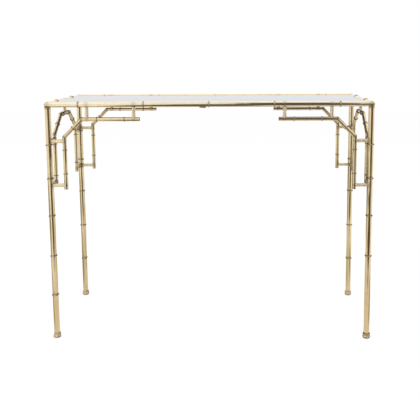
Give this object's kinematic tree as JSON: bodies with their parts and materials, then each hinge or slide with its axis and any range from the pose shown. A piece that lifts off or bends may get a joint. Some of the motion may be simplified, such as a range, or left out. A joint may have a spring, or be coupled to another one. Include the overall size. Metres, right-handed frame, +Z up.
{
  "type": "vanity table",
  "caption": "Brass faux-bamboo vanity table: ringed tube legs, mitred rails and fretwork corner brackets and side arches around a loose mirrored top.",
  "frame": {"origin": "on the floor, under the middle of the table", "axes": "+Z up, +X along the long side to the right, the front towards -Y"},
  "size_m": [1.006, 0.406, 0.7526],
  "materials": {
    "brass": "polished, lightly tarnished",
    "mirror": "silvered glass with polished edges",
    "board": "bare brown hardboard"
  },
  "bodies": {
    "frame": {"arch_left_crown": "brass", "arch_left_diagonal_back": "brass", "arch_left_diagonal_front": "brass", "arch_left_leg_stubs": "brass", "arch_left_rail_stub": "brass", "arch_left_upright_back": "brass", "arch_left_upright_front": "brass", "arch_right_crown": "brass", "arch_right_diagonal_back": "brass", "arch_right_diagonal_front": "brass", "arch_right_leg_stubs": "brass", "arch_right_rail_stub": "brass", "arch_right_upright_back": "brass", "arch_right_upright_front": "brass", "arch_rings": "brass", "bracket_back_left_arm": "brass", "bracket_back_left_diagonal": "brass", "bracket_back_left_leg_stubs": "brass", "bracket_back_left_rail_stubs": "brass", "bracket_back_left_upright": "brass", "bracket_back_right_arm": "brass", "bracket_back_right_diagonal": "brass", "bracket_back_right_leg_stubs": "brass", "bracket_back_right_rail_stubs": "brass", "bracket_back_right_upright": "brass", "bracket_front_left_arm": "brass", "bracket_front_left_diagonal": "brass", "bracket_front_left_leg_stubs": "brass", "bracket_front_left_rail_stubs": "brass", "bracket_front_left_upright": "brass", "bracket_front_right_arm": "brass", "bracket_front_right_diagonal": "brass", "bracket_front_right_leg_stubs": "brass", "bracket_front_right_rail_stubs": "brass", "bracket_front_right_upright": "brass", "bracket_rings": "brass", "foot_back_left": "brass", "foot_back_right": "brass", "foot_front_left": "brass", "foot_front_right": "brass", "leg_back_left": "brass", "leg_back_right": "brass", "leg_front_left": "brass", "leg_front_right": "brass", "leg_rings": "brass", "mirror_lugs": "brass", "rail_back": "brass", "rail_front": "brass", "rail_left": "brass", "rail_right": "brass", "rail_rings": "brass"},
    "mirror_top": {"mirror_glass": "mirror", "mirror_backing": "board"}
  },
  "joints": [
    {"name": "mirror_lift", "type": "slide", "parent": "frame", "child": "mirror_top", "axis": [0, 0, 1], "range_m": [0, 0.06]}
  ]
}
